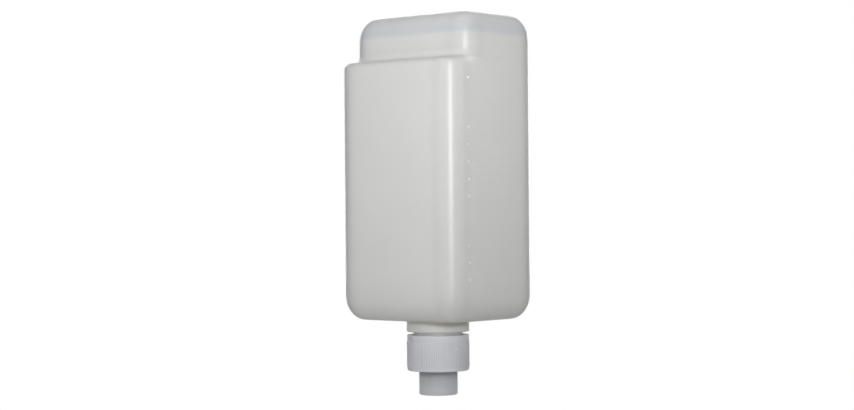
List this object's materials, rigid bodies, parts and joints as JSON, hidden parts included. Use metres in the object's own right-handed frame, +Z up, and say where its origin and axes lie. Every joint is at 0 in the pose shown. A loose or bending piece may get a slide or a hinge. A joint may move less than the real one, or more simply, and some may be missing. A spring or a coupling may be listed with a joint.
{
  "type": "hand soap refill pack",
  "caption": "Milky rectangular refill bottle with a stepped front and ribbed sides, filled with soap and hung neck-down, with a ribbed screw cap over a plain outlet stub.",
  "frame": {"origin": "on the neck axis, in the plane of the bottle's flat shoulder", "axes": "+Z up with the pack hung neck-down, -Y towards the stepped front, +X to the right seen from the front"},
  "size_m": [0.0892, 0.076, 0.2194],
  "materials": {
    "bottle": "milky natural polyethylene, satin, slightly cloudy",
    "soap": "opaque cream soap",
    "cap": "white moulded polypropylene with fine grip ribs",
    "stub": "natural moulded polypropylene, greyish and slightly clear",
    "washer": "soft white foam seal",
    "valve": "clear-white silicone",
    "ring": "natural moulded polypropylene"
  },
  "bodies": {
    "bottle": {"bottle": "bottle", "soap_fill": "soap"},
    "outlet": {"outlet_stub": "stub", "neck_washer": "washer", "slit_valve": "valve", "valve_ring": "ring"},
    "cap": {"screw_cap": "cap"}
  },
  "joints": [
    {"name": "cap_travel", "type": "slide", "parent": "bottle", "child": "outlet", "axis": [0, 0, -1], "range_m": [0, 0.006]},
    {"name": "cap_turn", "type": "hinge", "parent": "outlet", "child": "cap", "pos_m": [0, 0, -0.02], "axis": [0, 0, -1], "range_deg": [0, 540]}
  ],
  "couplings": [
    {"joint": "cap_travel", "follows": "cap_turn", "m_per_rad": 0.00063662}
  ]
}
